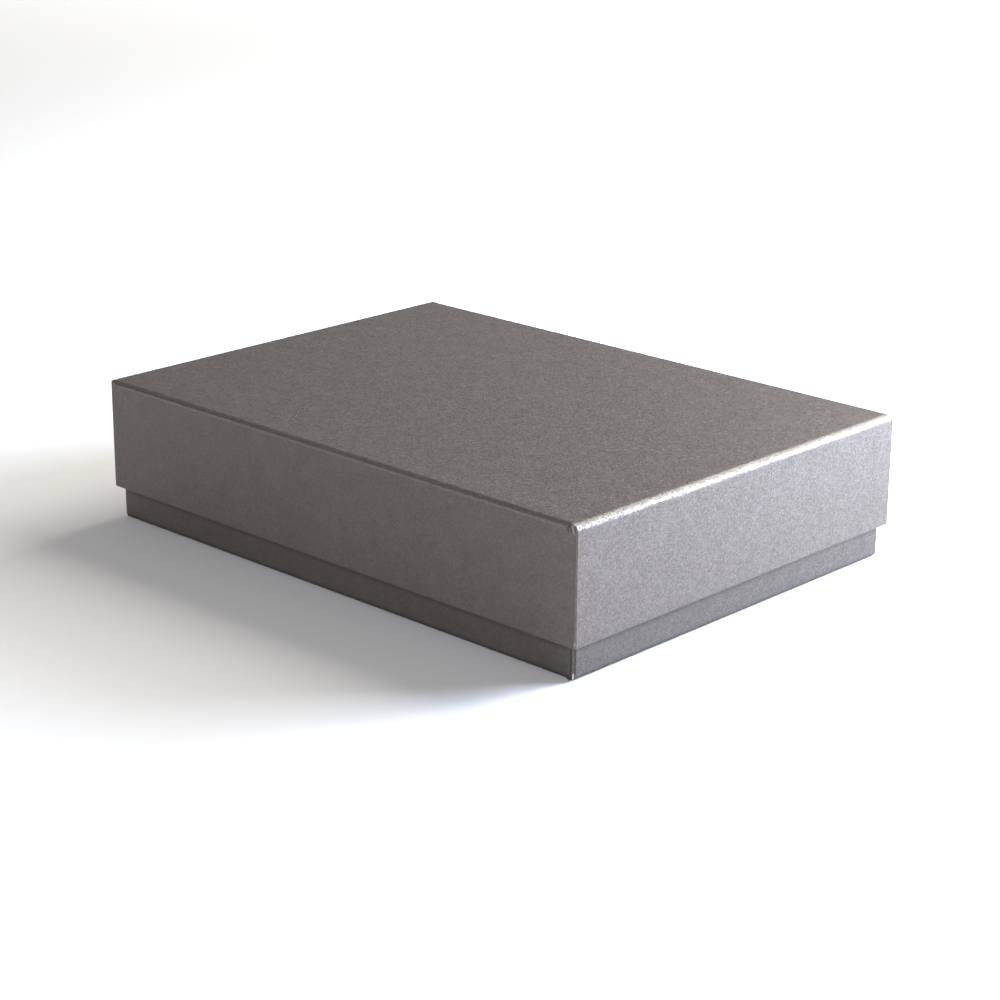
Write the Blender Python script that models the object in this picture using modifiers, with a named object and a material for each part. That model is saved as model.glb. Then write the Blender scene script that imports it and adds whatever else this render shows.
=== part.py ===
"""Archival box for standard sheets: a rigid base tray with a lift-off lid that telescopes over it.

Base and lid are made the same way. One greyboard blank is scored, cut out at its corners and folded up.
A paper stay ties each pair of walls together. One cover paper wraps the outside and turns in over the
rim, and a lining paper covers the rest of the inside.

Metres, +Z up. The origin is on the table under the middle of the box, with +X along its long side.
Every piece is modelled as in the base, open side up. The lid's pieces hang under an empty on the lift
axis, which turns them over.
"""

from math import pi

import bmesh
import bpy
from mathutils import Matrix, Vector

# What the box holds
SHEET_LENGTH = 0.297
SHEET_WIDTH = 0.210
FINGER_ROOM = 0.007  # spare length and width round the sheets
INSIDE_DEPTH = 0.068  # from the base's lined floor up to its rim

# The lid
LID_DEPTH = 0.0565  # outside, from the lid's top down to its rim
LID_FIT = 0.0004  # between the base's outside and the lid's inside, on each side
LID_REST = 0.0003  # between the base's rim and the lid's lining

# Sheet materials
BOARD = 0.0015
COVER_PAPER = 0.0002
LINING_PAPER = 0.0002
STAY_PAPER = 0.0002
GLUE_GAP = 0.0003  # kept open between glued layers

# How the sheets are cut and folded
FOLD_RADIUS = 0.003  # outside of the covered fold from the floor to a wall
CORNER_RADIUS = 0.0014  # outside of a covered upright corner
RIM_RADIUS = 0.0006  # where the cover turns over the rim
TURN_IN = 0.018  # how far the cover reaches down inside the walls
LINING_BUTT = 0.0006  # between the cover's turned-in edge and the lining
STAY_LEG = 0.016  # width of a stay on each wall
STAY_SETBACK = 0.0012  # from the board's rim down to a stay's end
SEAM = 0.0004  # open seam where two board walls meet
FOLD_STEPS = 5  # flats round each fold

# Worked out from the sizes above
STAY_LAYER = GLUE_GAP + STAY_PAPER + GLUE_GAP  # between a wall's board and its cover
WALL = COVER_PAPER + STAY_LAYER + BOARD + GLUE_GAP + COVER_PAPER
FLOOR = COVER_PAPER + GLUE_GAP + BOARD + GLUE_GAP + LINING_PAPER
BOX_HEIGHT = FLOOR + INSIDE_DEPTH + LID_REST + FLOOR
LID_GROWTH = 2 * (WALL + LID_FIT)
BASE_INSIDE = Vector((SHEET_LENGTH + FINGER_ROOM, SHEET_WIDTH + FINGER_ROOM, INSIDE_DEPTH))
LID_INSIDE = Vector((BASE_INSIDE.x + LID_GROWTH, BASE_INSIDE.y + LID_GROWTH, LID_DEPTH - FLOOR))

# The board's inner fold follows the cover's, but leaves the lining room to turn.
BOARD_FOLD = max(FOLD_RADIUS - COVER_PAPER - GLUE_GAP - BOARD, GLUE_GAP + 1.5 * LINING_PAPER)

COVER_COLOUR = (0.185, 0.165, 0.150, 1.0)
LINING_COLOUR = (0.80, 0.77, 0.69, 1.0)
BOARD_COLOUR = (0.33, 0.30, 0.27, 1.0)
STAY_COLOUR = (0.46, 0.32, 0.19, 1.0)


def clear_scene():
    for item in list(bpy.data.objects):
        bpy.data.objects.remove(item)


def new_collection(name):
    collection = bpy.data.collections.new(name)
    bpy.context.scene.collection.children.link(collection)
    return collection


def new_material(name, colour, roughness, metallic=0.0):
    material = bpy.data.materials.new(name)
    material.use_nodes = True
    shader = material.node_tree.nodes["Principled BSDF"]
    shader.inputs["Base Color"].default_value = colour
    shader.inputs["Roughness"].default_value = roughness
    shader.inputs["Metallic"].default_value = metallic
    return material


def block(size, bottom=0.0):
    """A closed box round the Z axis, standing at the height bottom."""
    box = bmesh.new()
    place = Matrix.Translation((0, 0, bottom + size.z / 2))
    bmesh.ops.create_cube(box, size=1, matrix=place @ Matrix.Diagonal((*size, 1)))
    return box


def grown(inside, sides, height):
    """A box that is wider than the inside by sides on each side, and as high as height."""
    return Vector((inside.x + 2 * sides, inside.y + 2 * sides, height))


def remove_faces(box, *directions):
    ways = [Vector(direction) for direction in directions]
    unwanted = [face for face in box.faces if any(face.normal.dot(way) > 0.5 for way in ways)]
    bmesh.ops.delete(box, geom=unwanted, context="FACES")


def draw_out_rim(box, move):
    """Adds a band of faces from the open rim to its moved copy."""
    rim = [edge for edge in box.edges if edge.is_boundary]
    made = bmesh.ops.extrude_edge_only(box, edges=rim)["geom"]
    for corner in made:
        if isinstance(corner, bmesh.types.BMVert):
            corner.co = move(corner.co)


def weigh_folds(box, floor_radius, corner_radius, rim_radius=0.0):
    """Marks each edge with its fold's share of the widest fold, which is returned for the Bevel."""
    widest = max(floor_radius, corner_radius, rim_radius)
    weight = box.edges.layers.float.new("bevel_weight_edge")
    bottom = min(corner.co.z for corner in box.verts)
    for edge in box.edges:
        low, high = sorted(corner.co.z for corner in edge.verts)
        if edge.is_boundary or edge.calc_face_angle() < pi / 4:
            continue
        if high - low > edge.calc_length() / 2:
            edge[weight] = corner_radius / widest
        elif high > bottom + widest:
            edge[weight] = rim_radius / widest
        else:
            edge[weight] = floor_radius / widest
    return widest


def new_piece(name, box, collection, material=None, parent=None):
    mesh = bpy.data.meshes.new(name)
    box.to_mesh(mesh)
    box.free()
    mesh.shade_smooth()
    mesh.set_sharp_from_angle(angle=pi / 6)
    piece = bpy.data.objects.new(name, mesh)
    piece.parent = parent
    collection.objects.link(piece)
    if material:
        mesh.materials.append(material)
    return piece


def round_folds(piece, widest):
    bevel = piece.modifiers.new("rounded folds", "BEVEL")
    bevel.limit_method = "WEIGHT"
    bevel.width = widest
    bevel.segments = FOLD_STEPS
    bevel.use_clamp_overlap = False


def thicken(piece, thickness):
    """Turns an outer surface into a sheet, whose thickness goes inwards."""
    sheet = piece.modifiers.new("sheet thickness", "SOLIDIFY")
    sheet.thickness = thickness
    sheet.offset = -1
    sheet.use_even_offset = True


def cut_away(piece, name, box, cutters, widest=0.0):
    """Cuts a box out of a piece. The cutter is returned, for its place and its copies."""
    cutter = new_piece(name, box, cutters, parent=piece.parent)
    cutter.hide_render = True
    cutter.display_type = "WIRE"
    if widest:
        round_folds(cutter, widest)
    cut = piece.modifiers.new(name, "BOOLEAN")
    cut.operation = "DIFFERENCE"
    cut.object = cutter
    return cutter


def make_board(half, inside, collection, cutters, material, parent):
    """One folded blank. Its walls join the floor, and an open seam parts them at each corner."""
    underside = COVER_PAPER + GLUE_GAP
    rim = FLOOR + inside.z - COVER_PAPER - GLUE_GAP
    outer_fold = BOARD_FOLD + BOARD
    shape = block(grown(inside, GLUE_GAP + COVER_PAPER + BOARD, rim - underside), underside)
    widest = weigh_folds(shape, outer_fold, CORNER_RADIUS - COVER_PAPER - STAY_LAYER)
    board = new_piece(half + "_board", shape, collection, material, parent)
    round_folds(board, widest)

    hollow = grown(inside, GLUE_GAP + COVER_PAPER, inside.z + BOARD)
    shape = block(hollow, underside + BOARD)
    widest = weigh_folds(shape, BOARD_FOLD, 0.0)
    cut_away(board, half + "_board_hollow", shape, cutters, widest)

    shape = block(Vector((4 * BOARD, SEAM, rim - outer_fold)), underside + outer_fold)
    place = Vector((hollow.x / 2 + BOARD, (hollow.y - SEAM) / 2, 0))
    bmesh.ops.translate(shape, verts=shape.verts, vec=place)
    seam = cut_away(board, half + "_board_seams", shape, cutters)
    copies = seam.modifiers.new("four corners", "MIRROR")
    copies.use_axis = (True, True, False)
    copies.merge_threshold = 0.0001


def make_corner_stays(half, inside, collection, material, parent, names):
    """Strips of paper folded round the upright corners, between the board and the cover."""
    outside = grown(inside, WALL - COVER_PAPER - GLUE_GAP, 0.0)
    top = FLOOR + inside.z - COVER_PAPER - GLUE_GAP - STAY_SETBACK
    for turns, (corner, side_x, side_y) in enumerate(names):
        shape = block(Vector((STAY_LEG, STAY_LEG, top - FOLD_RADIUS)), FOLD_RADIUS)
        bmesh.ops.translate(shape, verts=shape.verts, vec=(-STAY_LEG / 2, -STAY_LEG / 2, 0))
        remove_faces(shape, (-1, 0, 0), (0, -1, 0), (0, 0, 1), (0, 0, -1))
        widest = weigh_folds(shape, 0.0, CORNER_RADIUS - COVER_PAPER - GLUE_GAP)
        stay = new_piece(half + "_corner_stay_" + corner, shape, collection, material, parent)
        stay.location = (side_x * outside.x / 2, side_y * outside.y / 2, 0)
        stay.rotation_euler.z = turns * pi / 2
        round_folds(stay, widest)
        thicken(stay, STAY_PAPER)


def make_cover(half, inside, collection, material, parent):
    """Floor, walls, rim and turn-in, in one sheet."""
    outside = grown(inside, WALL, FLOOR + inside.z)
    shape = block(outside)
    remove_faces(shape, (0, 0, 1))
    mouth = Vector((inside.x / outside.x, inside.y / outside.y, 1))
    draw_out_rim(shape, lambda corner: corner * mouth)
    draw_out_rim(shape, lambda corner: corner - Vector((0, 0, TURN_IN)))
    bmesh.ops.recalc_face_normals(shape, faces=shape.faces)
    widest = weigh_folds(shape, FOLD_RADIUS, CORNER_RADIUS, RIM_RADIUS)
    cover = new_piece(half + "_cover", shape, collection, material, parent)
    round_folds(cover, widest)
    thicken(cover, COVER_PAPER)


def make_lining(half, inside, collection, material, parent):
    """A paper tray that covers the floor, and the walls up to the cover's turned-in edge."""
    underside = FLOOR - LINING_PAPER
    height = inside.z + LINING_PAPER - TURN_IN - LINING_BUTT
    shape = block(grown(inside, LINING_PAPER, height), underside)
    remove_faces(shape, (0, 0, 1))
    widest = weigh_folds(shape, BOARD_FOLD - GLUE_GAP, 1.5 * LINING_PAPER)
    lining = new_piece(half + "_lining", shape, collection, material, parent)
    round_folds(lining, widest)
    thicken(lining, LINING_PAPER)


def make_half(half, inside, collection, cutters, materials, parent, corner_names):
    """The base or the lid, from the board outwards."""
    cover, lining, board, stay = materials
    make_board(half, inside, collection, cutters, board, parent)
    make_corner_stays(half, inside, collection, stay, parent, corner_names)
    make_cover(half, inside, collection, cover, parent)
    make_lining(half, inside, collection, lining, parent)


def main():
    clear_scene()
    box = new_collection("archival_box")
    cutters = new_collection("cutters")
    cutters.hide_render = True
    materials = (
        new_material("cover_paper", COVER_COLOUR, 0.42, 0.35),
        new_material("lining_paper", LINING_COLOUR, 0.85),
        new_material("greyboard", BOARD_COLOUR, 0.90),
        new_material("stay_paper", STAY_COLOUR, 0.80),
    )

    # Corners in quarter turns from the first. Turned over, the lid's back corners come to the front.
    base_corners = (
        ("back_right", 1, 1),
        ("back_left", -1, 1),
        ("front_left", -1, -1),
        ("front_right", 1, -1),
    )
    lid_corners = (
        ("front_right", 1, 1),
        ("front_left", -1, 1),
        ("back_left", -1, -1),
        ("back_right", 1, -1),
    )
    make_half("base", BASE_INSIDE, box, cutters, materials, None, base_corners)

    lift_axis = bpy.data.objects.new("lid_lift_axis", None)
    box.objects.link(lift_axis)
    lift_axis.location.z = BOX_HEIGHT
    lift_axis.rotation_euler.x = pi
    make_half("lid", LID_INSIDE, box, cutters, materials, lift_axis, lid_corners)


main()
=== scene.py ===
from math import cos, pi, radians, sin

import bmesh
import bpy
import numpy as np
from mathutils import Matrix, Vector, noise


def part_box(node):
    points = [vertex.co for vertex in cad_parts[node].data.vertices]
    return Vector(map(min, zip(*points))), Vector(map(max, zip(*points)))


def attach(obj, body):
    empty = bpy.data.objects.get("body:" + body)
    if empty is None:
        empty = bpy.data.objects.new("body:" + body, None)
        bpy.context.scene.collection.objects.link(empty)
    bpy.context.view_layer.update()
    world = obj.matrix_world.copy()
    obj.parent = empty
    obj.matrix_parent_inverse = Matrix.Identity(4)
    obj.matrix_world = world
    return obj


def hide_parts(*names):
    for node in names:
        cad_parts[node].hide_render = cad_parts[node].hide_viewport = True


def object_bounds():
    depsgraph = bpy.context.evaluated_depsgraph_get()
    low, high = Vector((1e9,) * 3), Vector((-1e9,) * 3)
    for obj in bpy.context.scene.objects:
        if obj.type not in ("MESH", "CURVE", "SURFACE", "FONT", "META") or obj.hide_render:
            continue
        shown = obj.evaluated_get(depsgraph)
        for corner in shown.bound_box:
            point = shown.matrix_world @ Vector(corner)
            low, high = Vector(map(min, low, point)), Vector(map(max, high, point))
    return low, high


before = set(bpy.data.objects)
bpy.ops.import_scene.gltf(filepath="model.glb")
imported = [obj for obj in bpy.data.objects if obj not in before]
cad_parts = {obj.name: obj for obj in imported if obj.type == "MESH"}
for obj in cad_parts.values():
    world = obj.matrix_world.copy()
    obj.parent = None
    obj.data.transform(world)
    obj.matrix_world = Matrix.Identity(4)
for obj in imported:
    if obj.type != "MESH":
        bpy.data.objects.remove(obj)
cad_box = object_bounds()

# Greyboard blanks, one for the base and one for the lid: 1.5 mm board of recycled fibre, scored, cut out
# at the corners and folded up into a tray. The covers and linings hide them all but for the narrow joint
# between turned-in cover and lining. The modelled shapes are kept, and only the material is new.

BOARD_TONE = (0.235, 0.215, 0.195, 1.0)
BOARD_PALE = (0.345, 0.320, 0.290, 1.0)
BOARD_FLECK = (0.070, 0.062, 0.056, 1.0)


class Wire:
    """A number, vector or colour in a node tree. Operators on it add the nodes that work them out."""

    def __init__(self, socket):
        self.socket = socket
        self.is_vector = socket.type in ("VECTOR", "RGBA")

    def node(self, kind, settings, inputs, output=0):
        tree = self.socket.id_data
        made = tree.nodes.new(kind)
        for name, value in settings.items():
            setattr(made, name, value)
        for name, value in inputs.items():
            if isinstance(value, Wire):
                tree.links.new(value.socket, made.inputs[name])
            else:
                made.inputs[name].default_value = value
        return Wire(made.outputs[output])

    def sum(self, operation, first, second):
        pair = [first, second]
        if any(isinstance(term, tuple) or getattr(term, "is_vector", False) for term in pair):
            pair = [(term,) * 3 if isinstance(term, (int, float)) else term for term in pair]
            return self.node("ShaderNodeVectorMath", {"operation": operation}, dict(enumerate(pair)))
        return self.node("ShaderNodeMath", {"operation": operation}, dict(enumerate(pair)))

    def __add__(self, other):
        return self.sum("ADD", self, other)

    def __radd__(self, other):
        return self.sum("ADD", other, self)

    def __sub__(self, other):
        return self.sum("SUBTRACT", self, other)

    def __rsub__(self, other):
        return self.sum("SUBTRACT", other, self)

    def __mul__(self, other):
        return self.sum("MULTIPLY", self, other)

    def __rmul__(self, other):
        return self.sum("MULTIPLY", other, self)

    def ramp(self, low, high):
        """0 below low, 1 above high and smooth between them."""
        limits = {"Value": self, "From Min": low, "From Max": high}
        return self.node("ShaderNodeMapRange", {"interpolation_type": "SMOOTHSTEP"}, limits)

    def blend(self, first, second):
        """From one colour to another as this number goes from 0 to 1."""
        return self.node("ShaderNodeMix", {"data_type": "RGBA"}, {0: self, 6: first, 7: second}, 2)

    def grain(self, size, detail=3.0, roughness=0.55):
        """Cloudy noise from 0 to 1 at these coordinates, in grains of about that size in metres."""
        facts = {"Vector": self, "Scale": 1 / size, "Detail": detail, "Roughness": roughness}
        return self.node("ShaderNodeTexNoise", {}, facts)


def new_paper(name, **constants):
    """A material, its shader and the object's own coordinates in it. The constants go on the shader."""
    material = bpy.data.materials.new(name)
    material.use_nodes = True
    shader = material.node_tree.nodes["Principled BSDF"]
    for socket, value in constants.items():
        shader.inputs[socket.replace("_", " ")].default_value = value
    place = Wire(material.node_tree.nodes.new("ShaderNodeTexCoord").outputs["Object"])
    return material, shader, place


def finish_surface(shader, colour, roughness, height, distance, normal=None):
    """Feeds the shader. Height goes from 0 to 1, for a relief of this distance in metres."""
    links = shader.id_data.links
    relief = {"Height": height, "Distance": distance}
    if normal:
        relief["Normal"] = normal
    bump = height.node("ShaderNodeBump", {}, relief)
    for socket, value in (("Base Color", colour), ("Roughness", roughness), ("Normal", bump)):
        links.new(value.socket, shader.inputs[socket])


def greyboard():
    """Recycled pulp: cloudy, with dark and pale flecks and a felted surface."""
    material, shader, place = new_paper("greyboard", Specular_IOR_Level=0.25)
    clouds = place.grain(0.006)
    flecks = place.grain(0.0007, 2.0).ramp(0.60, 0.68)
    shreds = (place * (1.0, 0.25, 0.6)).grain(0.0009, 1.0).ramp(0.62, 0.70)
    colour = clouds.ramp(0.35, 0.65).blend(BOARD_TONE, BOARD_PALE)
    colour = (flecks * 0.7).blend(colour, BOARD_FLECK)
    colour = (shreds * 0.5).blend(colour, BOARD_PALE)
    felt = place.grain(0.0004, 4.0)
    finish_surface(shader, colour, 0.84 + felt * 0.14, felt, 0.00008)
    return material


board_material = greyboard()
for node in ("base_board", "lid_board"):
    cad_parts[node].data.materials.clear()
    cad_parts[node].data.materials.append(board_material)


# Corner stays, four in the base and four in the lid: strips of brown gummed paper, 16 mm wide on each
# wall, wetted and rubbed down round the upright corners. They hold the board walls together.

STAY_PAPER = 0.0002
STAY_LEG = 0.016
STAY_TONE = (0.40, 0.27, 0.155, 1.0)
STAY_DARK = (0.30, 0.195, 0.105, 1.0)
STAY_BEND = 0.0009  # radius round the corner
STAY_BEND_STEPS = 6
STAY_CREASE = radians(40)  # a sharper turn than this shades as an edge


def gummed_paper():
    """Kraft paper, with its fibres along the strip and the fine rib of the felt it was dried on."""
    material, shader, place = new_paper("gummed_paper", Specular_IOR_Level=0.4)
    fibres = (place * (0.3, 0.3, 1.0)).grain(0.0008, 4.0)
    rib = place.node(
        "ShaderNodeTexWave",
        {"wave_type": "BANDS", "bands_direction": "Z"},
        {"Vector": place, "Scale": 420.0, "Distortion": 1.5, "Detail": 1.0},
        1,
    )
    colour = fibres.ramp(0.3, 0.7).blend(STAY_DARK, STAY_TONE)
    finish_surface(shader, colour, 0.62 + fibres * 0.2, rib * 0.4 + fibres * 0.6, 0.00004)
    return material


def stay_tree(material):
    """Geometry nodes: one strip, bent square round Z, then set at the four corners of a box."""
    tree = bpy.data.node_groups.new("corner_stays", "GeometryNodeTree")
    interface = tree.interface
    interface.new_socket("Geometry", in_out="OUTPUT", socket_type="NodeSocketGeometry")
    for name in ("Length", "Width", "Height", "Bottom", "Leg", "Bend"):
        interface.new_socket(name, in_out="INPUT", socket_type="NodeSocketFloat")
    given = tree.nodes.new("NodeGroupInput")
    length, width, height, bottom, leg, bend = (Wire(socket) for socket in given.outputs[:6])

    # A flat strip, 1 wide from -0.5 to 0.5 and 1 high, whose columns are then laid round the corner.
    along = leg.node("GeometryNodeMeshGrid", {}, {"Vertices X": 4 * STAY_BEND_STEPS + 1, "Vertices Y": 9})
    place = leg.node("GeometryNodeInputPosition", {}, {})
    across = place.node("ShaderNodeSeparateXYZ", {}, {0: place}, 0)
    up = place.node("ShaderNodeSeparateXYZ", {}, {0: place}, 1)
    # The middle half of the columns makes the bend, and the rest makes the two straight legs.
    spread = across * 2
    flat = spread.sum("MINIMUM", spread.sum("MAXIMUM", spread, -0.5), 0.5)
    rest = (spread - flat) * 2 * (leg - bend)
    turn = flat * (pi / 2)
    cosine = turn.node("ShaderNodeMath", {"operation": "COSINE"}, {0: turn})
    sine = turn.node("ShaderNodeMath", {"operation": "SINE"}, {0: turn})
    # Before it is set at 45 degrees to the walls, the strip's middle is at the bend's foremost point.
    ahead = bend * cosine - rest.sum("MULTIPLY", rest, sine)
    aside = bend * sine + rest * cosine
    back = ahead - bend * (2 ** 0.5)
    where = place.node("ShaderNodeCombineXYZ", {}, {0: back, 1: aside, 2: bottom + (up + 0.5) * height})
    strip = along.node("GeometryNodeSetPosition", {}, {"Geometry": along, "Position": where})

    points = leg.node("GeometryNodePoints", {}, {"Count": 4})
    index = leg.node("GeometryNodeInputIndex", {}, {})
    heading = index * (pi / 2) + pi / 4
    side_x = heading.node("ShaderNodeMath", {"operation": "COSINE"}, {0: heading})
    side_y = heading.node("ShaderNodeMath", {"operation": "SINE"}, {0: heading})
    corner = place.node(
        "ShaderNodeCombineXYZ", {}, {0: side_x * length * (0.5 ** 0.5), 1: side_y * width * (0.5 ** 0.5)}
    )
    placed = points.node("GeometryNodeSetPosition", {}, {"Geometry": points, "Position": corner})
    turned = heading.node("ShaderNodeCombineXYZ", {}, {2: heading})
    four = placed.node(
        "GeometryNodeInstanceOnPoints", {}, {"Points": placed, "Instance": strip, "Rotation": turned}
    )
    real = four.node("GeometryNodeRealizeInstances", {}, {"Geometry": four})
    paper = real.node("GeometryNodeSetMaterial", {}, {"Geometry": real, "Material": material})
    result = tree.nodes.new("NodeGroupOutput")
    tree.links.new(paper.socket, result.inputs[0])
    return tree


def plain_mesh(maker, name):
    """What a maker object's modifiers give, as a mesh with none."""
    graph = bpy.context.evaluated_depsgraph_get()
    mesh = bpy.data.meshes.new_from_object(maker.evaluated_get(graph))
    mesh.name = name
    return mesh


def new_piece(name, mesh, body, slot, *stands_for):
    """An object that rides on a body, in the place of the CAD nodes that it stands for."""
    piece = bpy.data.objects.new(name, mesh)
    bpy.context.scene.collection.objects.link(piece)
    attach(piece, body)
    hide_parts(*stands_for)
    return piece


def make_stays(half, tree):
    """All four stays of one half, in the box that the CAD's own stays fill."""
    nodes = [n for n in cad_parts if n.startswith(half + "_corner_stay_")]
    corners = [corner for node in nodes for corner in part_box(node)]
    low = Vector(min(corner[axis] for corner in corners) for axis in range(3))
    high = Vector(max(corner[axis] for corner in corners) for axis in range(3))
    maker = bpy.data.objects.new(half + "_stay_maker", bpy.data.meshes.new("blank"))
    bpy.context.scene.collection.objects.link(maker)
    setter = maker.modifiers.new("stays", "NODES")
    setter.node_group = tree
    sizes = {
        "Length": high.x - low.x,
        "Width": high.y - low.y,
        "Height": high.z - low.z,
        "Bottom": low.z,
        "Leg": STAY_LEG,
        "Bend": STAY_BEND,
    }
    for item in tree.interface.items_tree:
        if item.in_out == "INPUT":
            setter[item.identifier] = sizes[item.name]
    skin = maker.modifiers.new("paper", "SOLIDIFY")
    skin.thickness = STAY_PAPER
    skin.offset = -1
    mesh = plain_mesh(maker, half + "_corner_stays")
    bpy.data.objects.remove(maker)
    mesh.shade_smooth()
    mesh.set_sharp_from_angle(angle=STAY_CREASE)
    new_piece(half + "_corner_stays", mesh, half, "stay_paper", *nodes)


gummed = gummed_paper()
stays = stay_tree(gummed)
make_stays("base", stays)
make_stays("lid", stays)


# Cover papers: a mica-coated paper in warm grey, glued over each folded board. The long sides end in ears
# that turn round the upright corners. The end walls' paper comes down over the ears, cut a hair short of
# the corner, and all four sides turn in over the rim, the end walls' with their ends cut on the slant.

COVER_PAPER = 0.0002
FOLDS = {  # how far each soft fold reaches over the panel and down the wall: +X end, -X end, long sides
    "lid": ((0.0037, 0.0034), (0.0017, 0.0015), (0.0023, 0.0019)),
    "base": ((0.0026, 0.0024), (0.0026, 0.0024), (0.0022, 0.0020)),
}
# At each corner, the share left of a long side's fold where an ear pulls it in sharp. The order goes round
# from the rear right one to the front right one, as seen on the base.
FOLD_AT_EAR = (0.75, 0.70, 0.80, 0.15)
EAR_PULL = (0.0040, 0.0062)  # from the corner, the stretch in which that fold opens again
CORNER_ROUND = 0.0008
LEAST_ROUND = 0.0003
RIM_ROUND = 0.0006
CUT_EDGE = 0.0005  # from the corner to the cut edge of an end wall's paper
TURN_IN = 0.018
TURN_IN_BACK = 0.0008  # the turned-in ends start this much further from the corner
TURN_IN_SLANT = 0.28  # and draw back by this share of their depth
FLAT_MARGIN = 0.0015  # of the flat panel, inside the widest fold
EAR_ENDS = (0.0126, 0.0136)  # from the corner, the step where the ear under an end wall's paper ends
EAR_TUCKS = (0.0010, 0.0030)  # along the paper from the panel, where the ear goes under the end wall's
EAR_SHOWS = 0.00012  # how far an end wall's paper sinks beyond the ear under it
WALL_WAVES = 0.00010  # the most that a wall lies in from flat
WAVES_PER_METRE = 22
WAVES_FROM = (0.004, 0.030)  # from a corner, where they set in
WALL_BEGINS = (0.0060, 0.0120)  # from the panel, where the marks of the ear and the waves set in
WALL_CEASES = (0.0060, 0.0020)  # from the rim, where they are gone again
CORNER_WEAR = (0.35, 0.30, 0.25, 1.0)  # how marked each corner is, in the same order as the ears
MARK_SHIFT = 0.0004  # how far the marks of the lesser corners stray
# Marks at each corner, from (x1, y1) to (x2, y2) as distance from the corner (negative on the long side)
# and drop from the panel. Then width, how deep, how dark and how much wear and painted highlight. The dark
# is painted shade in the creases, slits and seams, with some dirt in the seams; the pale lines on bends
# and edges are painted highlight, and the base's last mark, at its foot, is wear down to the paper's core.
MARKS = {
    "lid": (
        ((-0.0038, 0.0013), (-0.0039, 0.0034), 0.00030, 0.00026, 1.0, 0.0),
        ((-0.0056, 0.0014), (-0.0055, 0.0034), 0.00030, 0.00024, 1.0, 0.0),
        ((-0.0038, 0.0012), (-0.0056, 0.0013), 0.00030, 0.00020, 0.9, 0.0),
        ((-0.0019, 0.0016), (-0.0007, 0.0040), 0.00036, 0.00018, 0.70, 0.0),
        ((-0.0032, 0.0009), (-0.0015, 0.0044), 0.00032, 0.0, 0.0, 0.26),
        ((-0.0007, 0.0042), (-0.0007, 0.0560), 0.00034, 0.00004, 0.62, 0.0),
        ((-0.0002, 0.0535), (-0.0002, 0.0565), 0.00050, 0.0, 0.0, 0.16),
    ),
    "base": (
        ((-0.0021, 0.0030), (-0.0020, 0.0700), 0.00036, 0.00012, 0.85, 0.0),
        ((0.0007, 0.0030), (0.0008, 0.0700), 0.00034, 0.00012, 0.85, 0.0),
        ((-0.0008, 0.0036), (-0.0008, 0.0700), 0.00060, 0.0, 0.0, 0.11),
        ((-0.0003, 0.0002), (-0.0003, 0.0034), 0.00040, 0.0, 0.0, 1.0),
    ),
}
# The lines that run along a side: (from the panel, half its width, how strong).
# A painted highlight along each long side's fold.
FOLD_HIGHLIGHT_LINE = (0.0022, 0.0005, 0.06)
FOLD_HIGHLIGHT_FROM = (0.006, 0.009)  # it sets in this far from a corner
# Painted shade along the foot, and a painted shadow under the lid's rim.
FOOT_SHADE = (0.0014, 0.0009, 0.70)
LID_RIM_SHADOW = (-0.0020, 0.0006, 0.42)  # from the lid's rim
COVER_CREASE = radians(50)
MERGE = 0.000002  # vertices closer than this are one
# The mica flakes lie in two layers: (flakes to a metre, how far they lean, their share in the tone).
FINE_MICA = (2300.0, 0.28, 0.55)
COARSE_MICA = (1200.0, 0.11, 0.40)
COVER_TONES_BASE_SHADED = {  # from dark to pale; the base's tones are darker as painted shade, a shaded copy of the same paper
    "lid": ((0.110, 0.096, 0.086, 1.0), (0.170, 0.150, 0.136, 1.0)),
    "base": ((0.084, 0.073, 0.066, 1.0), (0.130, 0.115, 0.105, 1.0)),
}
COVER_SHADOW = (0.022, 0.019, 0.017, 1.0)
# Pale paper core, bared by wear at the base's foot, and the colour of painted highlights on bends and
# edges.
COVER_CORE_AND_HIGHLIGHT = (0.80, 0.78, 0.74, 1.0)


def stations(reach, step=0.00025, close=0.0068, growth=1.4, widest=0.010):
    """Distances from 0 to reach: close together at first, then further and further apart."""
    found = [0.0]
    while found[-1] < close:
        found.append(found[-1] + step)
    near = len(found) - 1
    while found[-1] < reach:
        step = min(step * growth, widest)
        found.append(found[-1] + step)
    fixed = found[near]
    stretch = (reach - fixed) / (found[-1] - fixed)
    return np.array([at if at <= fixed else fixed + (at - fixed) * stretch for at in found])


def smooth(value, low, high):
    """0 below low, 1 above high and smooth between them."""
    share = np.clip((value - low) / (high - low), 0, 1)
    return share * share * (3 - 2 * share)


def line_at(at, middle, width, strength):
    """A soft line: full strength at its middle, and fading over about its width on each side."""
    return strength * np.exp(-(((at - middle) / width) ** 2))


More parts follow.
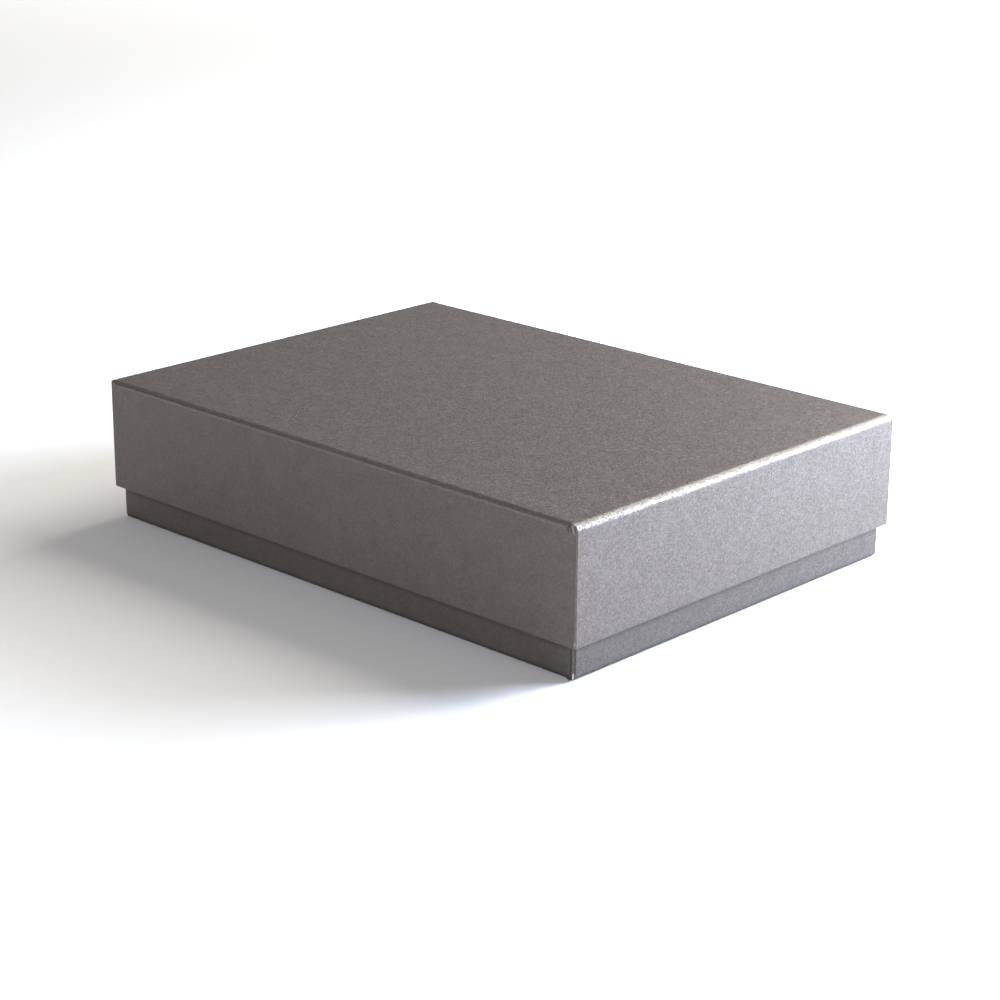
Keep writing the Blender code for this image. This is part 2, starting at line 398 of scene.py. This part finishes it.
def section(height, wall, fold_in, fold_down):
    """The paper's line from the panel, down the wall and over the rim to its turned-in edge, as points
    (inset, drop). With it come the direction towards the board at each, and the length up to each."""
    fold = np.linspace(0, pi / 2, 17)
    bend = np.linspace(0, pi / 2, 7)
    down = stations(height / 2, 0.0003, 0.0054)[1:] * 2 / height
    up = stations(height / 2, 0.00015, 0.0009)[1:-1][::-1] * 2 / height
    half = (height - RIM_ROUND - fold_down) / 2
    stretches = (
        ([fold_in + FLAT_MARGIN], [0.0]),
        (fold_in * (1 - np.sin(fold)), fold_down * (1 - np.cos(fold))),
        (0 * down, fold_down + down * half),
        (0 * up, height - RIM_ROUND - up * half),
        (RIM_ROUND * (1 - np.cos(bend)), height - RIM_ROUND * (1 - np.sin(bend))),
        ([wall / 2], [height]),
        (wall - RIM_ROUND * (1 - np.sin(bend)), height - RIM_ROUND * (1 - np.cos(bend))),
        (np.full(9, wall), np.linspace(height - RIM_ROUND, height - TURN_IN, 10)[1:]),
    )
    line = np.hstack([np.array(stretch) for stretch in stretches]).T
    steps = np.diff(line, axis=0)
    lengths = np.linalg.norm(steps, axis=1)
    ways = steps / lengths[:, None]
    ahead = np.vstack([ways[:1], ways]) + np.vstack([ways, ways[-1:]])
    ahead /= np.linalg.norm(ahead, axis=1)[:, None]
    return line, np.c_[ahead[:, 1], -ahead[:, 0]], np.r_[0, np.cumsum(lengths)] - FLAT_MARGIN


def quarter_ring(end, tucked, side, pulled, half, cut, shares):
    """A quarter of the ring that one point of the section makes round the box, from the middle of an end
    wall to the middle of a long side. Rows are (x, y, drop, distance from the corner), and the last is
    negative on the long side. End, tucked and side give (inset, drop) of the end wall's paper, of the ear
    under it and of the long side's paper, and pulled gives the inset of the last beside the ear. Cut is
    how far from the corner the end wall's paper stops, and shares space the rows along the two walls."""

    def side_at(from_corner):
        opened = smooth(from_corner, *EAR_PULL)
        return pulled + (side[0] - pulled) * opened, end[1] + (side[1] - end[1]) * opened

    curve = max(CORNER_ROUND - end[0], LEAST_ROUND)
    corner_y = half.y - side_at(end[0])[0]
    middle = (half.x - tucked[0] - curve, corner_y - curve)
    rows = [
        (half.x - end[0], (corner_y - cut) * (1 - share), end[1], cut + (corner_y - cut) * share)
        for share in shares[0][::-1]
    ]
    start = np.arcsin(max(curve - cut, 0) / curve)
    for lead in (max(cut - curve, 0), max(cut - curve, 0) / 2):
        y = middle[1] + curve * sin(start) - lead
        rows.append((middle[0] + curve * cos(start), y, tucked[1], corner_y - y))
    for angle in np.linspace(start, pi / 2, 9):
        part = (angle - start) / (pi / 2 - start)
        place = (middle[0] + curve * cos(angle), middle[1] + curve * sin(angle))
        rows.append((*place, tucked[1] + (end[1] - tucked[1]) * part, curve * (0.5 - part)))
    for share in shares[1][1:]:
        x = middle[0] * (1 - share)
        inset, drop = side_at(half.x - x)
        rows.append((x, half.y - inset, drop, x - half.x))
    return np.array(rows)


def whole_ring(quarters):
    """A closed ring of four quarters, each turned to its own corner, whose number ends its rows."""
    parts = []
    for number, (side_x, side_y) in enumerate(((1, 1), (-1, 1), (-1, -1), (1, -1))):
        part = np.c_[quarters[number] * (side_x, side_y, 1, 1), np.full(len(quarters[number]), number)]
        part = part[::-1] if number % 2 else part
        parts.append(part[number > 0:])
    return np.vstack(parts)[:-1]


def sheet_rings(half_name, height, wall, half, layer, shares):
    """All the rings of one face of the paper, this far in from its outside."""
    right, left, side = (section(height, wall, *fold) for fold in FOLDS[half_name])
    side_fold = sum(FOLDS[half_name][2])
    shares_left = FOLD_AT_EAR[::-1] if half_name == "lid" else FOLD_AT_EAR  # the lid is made upside down
    rings = []
    for i, run in enumerate(side[2]):
        beside = side[0][i] + side[1][i] * layer
        quarters = []
        for share_left, (line, inward, runs) in zip(shares_left, (right, left, left, right)):
            pulled = beside[0] * share_left if run < side_fold else beside[0]
            end = line[i] + inward[i] * layer
            tucked = end + inward[i] * COVER_PAPER * smooth(runs[i], *EAR_TUCKS)
            inside = smooth(line[i][0], 0.3 * wall, 0.9 * wall) * (runs[i] > height / 2)
            cut = CUT_EDGE + inside * (TURN_IN_BACK + TURN_IN_SLANT * (height - line[i][1]))
            quarters.append(quarter_ring(end, tucked, beside, pulled, half, cut, shares))
        rings.append(whole_ring(quarters))
    return np.array(rings), right[2]


def corner_marks(half_name, across, drop, run, corner):
    """How far each point is pressed in, its painted shade and its wear and painted highlight, by its
    corner's marks.
    """
    total = np.zeros((3, *across.shape))
    height = drop.max()
    wear_of = CORNER_WEAR[::-1] if half_name == "lid" else CORNER_WEAR  # the lid is made upside down
    for start, end, width, *amounts in MARKS[half_name]:
        for number, wear in enumerate(wear_of):
            seed = Vector((number * 3.1, start[0] * 9000, len(half_name)))
            shift = np.array([noise.noise(seed), noise.noise(seed.yxz)]) * MARK_SHIFT
            first = np.array(start) + shift * (wear < 1)
            way = np.array(end) - np.array(start)
            at = np.stack([across, drop], axis=-1) - first
            share = np.clip(at @ way / (way @ way), 0, 1)
            apart = np.linalg.norm(at - share[..., None] * way, axis=-1)
            felt = line_at(apart, 0.0, width, wear) * (corner == number) * (run < height + 0.001)
            total = np.maximum(total, np.array(amounts)[:, None, None] * felt)
    return total


def outward(points):
    """The outward normals of a face of the paper, given ring by ring."""
    over = np.gradient(points, axis=0)
    around = np.roll(points, -1, axis=1) - np.roll(points, 1, axis=1)
    normal = np.cross(over, around)
    normal /= np.maximum(np.linalg.norm(normal, axis=-1), 1e-12)[..., None]
    wall_ring = len(points) // 3
    facing = (points[wall_ring, :, :2] * normal[wall_ring, :, :2]).sum()
    return -normal if facing < 0 else normal


def surface_of(half_name, turned, height, outside, runs):
    """How far each point of the outer face lies in, its painted shade and its wear and painted highlight.
    """
    points, across, corner = outside[..., :3], outside[..., 3], outside[..., 4]
    drop = points[..., 2]
    run = np.repeat(runs[:, None], points.shape[1], axis=1)
    pressed, dark, wear_and_highlight = corner_marks(half_name, across, drop, run, corner)
    near_rim = smooth(run, *(height - at for at in WALL_CEASES))
    on_wall = smooth(run, *WALL_BEGINS) * (1 - near_rim)
    sunk = EAR_SHOWS * smooth(across, *EAR_ENDS) * on_wall
    waves = np.array([[noise.noise(Vector(point) * WAVES_PER_METRE) for point in ring] for ring in points])
    waves = WALL_WAVES * (0.5 + 0.5 * waves) * on_wall * smooth(np.abs(across), *WAVES_FROM)
    if turned:
        # A painted highlight: the soft light line where each long side's fold meets its wall.
        fold_highlight = line_at(drop, *FOLD_HIGHLIGHT_LINE) * smooth(-across, *FOLD_HIGHLIGHT_FROM)
        wear_and_highlight = np.maximum(wear_and_highlight, fold_highlight * (run < height / 2))
    else:
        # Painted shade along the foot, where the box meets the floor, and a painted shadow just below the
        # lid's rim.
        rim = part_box("lid_cover")[0].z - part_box("base_cover")[0].z
        painted_shade = np.maximum(line_at(drop, *FOOT_SHADE), line_at(drop - rim, *LID_RIM_SHADOW))
        dark = np.maximum(dark, painted_shade * (run < height))
    return pressed + sunk + waves, dark, wear_and_highlight


def closed_sheet(layers, marks):
    """A closed solid through these rings, with a panel across the first and the last. Marks are the
    values of its float attributes, ring by ring."""
    paper = bmesh.new()
    slots = {name: paper.verts.layers.float.new(name) for name in marks}
    rows = []
    for i, ring in enumerate(layers):
        row = [paper.verts.new(point) for point in ring]
        for name, values in marks.items():
            for vertex, value in zip(row, values[i]):
                vertex[slots[name]] = value
        rows.append(row)
    for first, second in zip(rows, rows[1:]):
        for i, (a, b) in enumerate(zip(first, second)):
            paper.faces.new((a, b, second[i - 1], first[i - 1]))
    paper.faces.new(rows[0])
    paper.faces.new(rows[-1])
    bmesh.ops.remove_doubles(paper, verts=paper.verts, dist=MERGE)
    bmesh.ops.recalc_face_normals(paper, faces=paper.faces)
    return paper


def cover_mesh(half_name, turned):
    """The cover paper of one half, in the CAD cover's box. A turned one has its panel on top."""
    cover_low, cover_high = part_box(half_name + "_cover")
    lining_low, lining_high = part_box(half_name + "_lining")
    size = cover_high - cover_low
    half = size / 2
    wall = half.x - (lining_high.x - lining_low.x) / 2 + COVER_PAPER
    reach = (half.y - CUT_EDGE, half.x - CORNER_ROUND)
    shares = [stations(length) / length for length in reach]
    outside, runs = sheet_rings(half_name, size.z, wall, half, 0.0, shares)
    inside, _ = sheet_rings(half_name, size.z, wall, half, COVER_PAPER, shares)
    pressed, dark, wear_and_highlight = surface_of(half_name, turned, size.z, outside, runs)
    pressed = pressed[..., None] * outward(outside[..., :3])
    layers = np.concatenate([outside[..., :3] - pressed, inside[::-1, :, :3] - pressed[::-1]])
    marks = {"dark": np.concatenate([dark, 0 * dark]), "wear_and_highlight": np.concatenate([wear_and_highlight, 0 * wear_and_highlight])}
    paper = closed_sheet(layers, marks)

    centre = (cover_low + cover_high) / 2
    if turned:
        place = Matrix.Translation((centre.x, centre.y, cover_high.z)) @ Matrix.Rotation(pi, 4, "X")
    else:
        place = Matrix.Translation((centre.x, centre.y, cover_low.z))
    bmesh.ops.transform(paper, matrix=place, verts=paper.verts)
    mesh = bpy.data.meshes.new(half_name + "_cover_paper")
    paper.to_mesh(mesh)
    paper.free()
    mesh.shade_smooth()
    mesh.set_sharp_from_angle(angle=COVER_CREASE)
    return mesh


def mica_paper(half_name):
    """Warm grey paper with a coat of mica flakes, each lying at its own small angle."""
    material, shader, place = new_paper("mica_paper_" + half_name, Metallic=0.45, Specular_IOR_Level=0.5)
    fine, coarse = (
        place.node("ShaderNodeTexVoronoi", {}, {"Vector": place, "Scale": layer[0]}, "Color")
        for layer in (FINE_MICA, COARSE_MICA)
    )
    surface = place.node("ShaderNodeNewGeometry", {}, {}, "Normal")
    lean = (fine - 0.5) * FINE_MICA[1] + (coarse - 0.5) * COARSE_MICA[1]
    tilted = lean.node("ShaderNodeVectorMath", {"operation": "NORMALIZE"}, {0: surface + lean})
    clouds = place.grain(0.012, 3.0)
    speck = place.grain(0.0007, 2.0)
    glint = fine.node("ShaderNodeSeparateXYZ", {}, {0: fine}, 0)
    patch = coarse.node("ShaderNodeSeparateXYZ", {}, {0: coarse}, 1)
    shade = clouds * 0.6 + glint * FINE_MICA[2] + patch * COARSE_MICA[2] - 0.28
    # The base's darker tones are painted shade.
    colour = shade.blend(*COVER_TONES_BASE_SHADED[half_name])
    # The dark mark paints shade in creases and seams, at the foot and under the lid's rim; the other
    # paints wear and highlights.
    for name, tone in (("dark", COVER_SHADOW), ("wear_and_highlight", COVER_CORE_AND_HIGHLIGHT)):
        mark = place.node("ShaderNodeAttribute", {"attribute_name": name}, {}, "Fac")
        colour = (mark * (0.85 + 0.3 * speck)).blend(colour, tone)
    felt = place.grain(0.0009, 3.0)
    finish_surface(shader, colour, 0.36 + speck * 0.12, felt, 0.00002, tilted)
    return material


for half_name, turned in (("base", False), ("lid", True)):
    mesh = cover_mesh(half_name, turned)
    mesh.materials.append(mica_paper(half_name))
    new_piece(half_name + "_cover_paper", mesh, half_name, "cover_paper", half_name + "_cover")


# Linings: one off-white, acid-free paper tray in each half, over the board's floor and up its walls to the
# cover's turned-in edge. The modelled shapes are kept, and only the material is new.

LINING_TONE = (0.49, 0.465, 0.415, 1.0)
LINING_PALE = (0.54, 0.515, 0.465, 1.0)


def lining_paper():
    """Uncoated paper with a soft, uneven formation and a fine tooth."""
    material, shader, place = new_paper("lining_paper", Specular_IOR_Level=0.3)
    formation = place.grain(0.004, 4.0)
    tooth = place.grain(0.0005, 3.0)
    colour = formation.ramp(0.3, 0.7).blend(LINING_TONE, LINING_PALE)
    finish_surface(shader, colour, 0.78 + tooth * 0.16, tooth * 0.6 + formation * 0.4, 0.00005)
    return material


lining = lining_paper()
for node in ("base_lining", "lid_lining"):
    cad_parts[node].data.materials.clear()
    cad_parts[node].data.materials.append(lining)


# The studio: a pale floor in a dim room. Two soft boxes low behind the box on its right give the lid its
# shine and the top its fall of light. A window stands behind, two more soft boxes fill the front and
# left, and the panels overhead keep the floor pale, the second through a grid that keeps it off the box.


def new_light(name, towards, distance, size, power, colour):
    """A soft box in that direction from the lid's middle, facing it."""
    lamp = bpy.data.lights.new(name, "AREA")
    lamp.shape = "RECTANGLE"
    lamp.size, lamp.size_y = size
    lamp.energy = power
    lamp.color = colour
    light = bpy.data.objects.new(name, lamp)
    bpy.context.scene.collection.objects.link(light)
    way = Vector(towards).normalized()
    light.location = lid_top + way * distance
    light.rotation_euler = way.to_track_quat("Z", "Y").to_euler()
    return light


FLOOR_RADIUS = 14
low, high = cad_box
lid_top = Vector(((low.x + high.x) / 2, (low.y + high.y) / 2, high.z))

floor_mesh = bpy.data.meshes.new("floor")
floor_shape = bmesh.new()
bmesh.ops.create_circle(floor_shape, cap_ends=True, radius=FLOOR_RADIUS, segments=96)
floor_shape.to_mesh(floor_mesh)
floor_shape.free()
floor = bpy.data.objects.new("floor", floor_mesh)
bpy.context.scene.collection.objects.link(floor)
floor.location.z = low.z
floor_material = bpy.data.materials.new("floor")
floor_material.use_nodes = True
floor_shader = floor_material.node_tree.nodes["Principled BSDF"]
floor_shader.inputs["Base Color"].default_value = (0.90, 0.90, 0.90, 1.0)
floor_shader.inputs["Roughness"].default_value = 0.9
floor_shader.inputs["Specular IOR Level"].default_value = 0.2
floor_mesh.materials.append(floor_material)

world = bpy.data.worlds.new("room")
bpy.context.scene.world = world
world.use_nodes = True
room = world.node_tree.nodes["Background"]
room.inputs["Color"].default_value = (1.0, 0.92, 0.82, 1.0)
room.inputs["Strength"].default_value = 0.13

new_light("key_soft_box", (0.55, 0.78, 0.30), 1.1, (0.7, 0.30), 26.0, (0.88, 0.99, 1.20))
new_light("far_soft_box", (0.40, 0.90, 0.22), 1.0, (0.5, 0.30), 15.5, (0.88, 0.99, 1.24))
new_light("rear_window", (0.10, 0.74, 0.66), 1.4, (1.1, 0.9), 21.0, (1.0, 0.97, 0.88))
new_light("front_soft_box", (0.34, -0.90, 0.28), 1.2, (0.8, 0.4), 7.0, (0.96, 0.99, 1.08))
new_light("left_soft_box", (-0.70, -0.20, 0.70), 1.7, (1.2, 1.0), 1.8, (1.0, 0.97, 0.95))
new_light("roof_panel", (-0.25, 0.55, 0.85), 2.4, (3.0, 2.6), 4.5, (1.0, 0.96, 0.88))
floor_panel = new_light("floor_panel", (-1.9, 2.8, 2.2), 4.0, (4.0, 3.6), 55.0, (1.0, 1.0, 1.0))
floor_panel.rotation_euler = (0, 0, radians(34))
floor_panel.data.spread = radians(85)


# The camera looks at the corner between the front and the right-hand end, from a little above the lid.

CAMERA_TURN = radians(43.47)
CAMERA_LIFT = radians(18.79)
CAMERA_ROLL = radians(0.41)
CAMERA_DISTANCE = 1.217
CAMERA_ASIDE = (0.0028, -0.0512)  # across and up, from the line to the lid's middle
CAMERA_LENS = 88.5

level = cos(CAMERA_LIFT)
back = Vector((sin(CAMERA_TURN) * level, -cos(CAMERA_TURN) * level, sin(CAMERA_LIFT)))
right = Matrix.Rotation(CAMERA_ROLL, 3, back) @ Vector((cos(CAMERA_TURN), sin(CAMERA_TURN), 0))
up = back.cross(right)
camera = bpy.data.objects.new("camera", bpy.data.cameras.new("camera"))
bpy.context.scene.collection.objects.link(camera)
camera.data.lens = CAMERA_LENS
camera.data.sensor_width = 36
place = lid_top + back * CAMERA_DISTANCE + right * CAMERA_ASIDE[0] + up * CAMERA_ASIDE[1]
camera.matrix_world = Matrix.Translation(place) @ Matrix((right, up, back)).transposed().to_4x4()
bpy.context.scene.camera = camera
bpy.context.scene.view_settings.view_transform = "Standard"
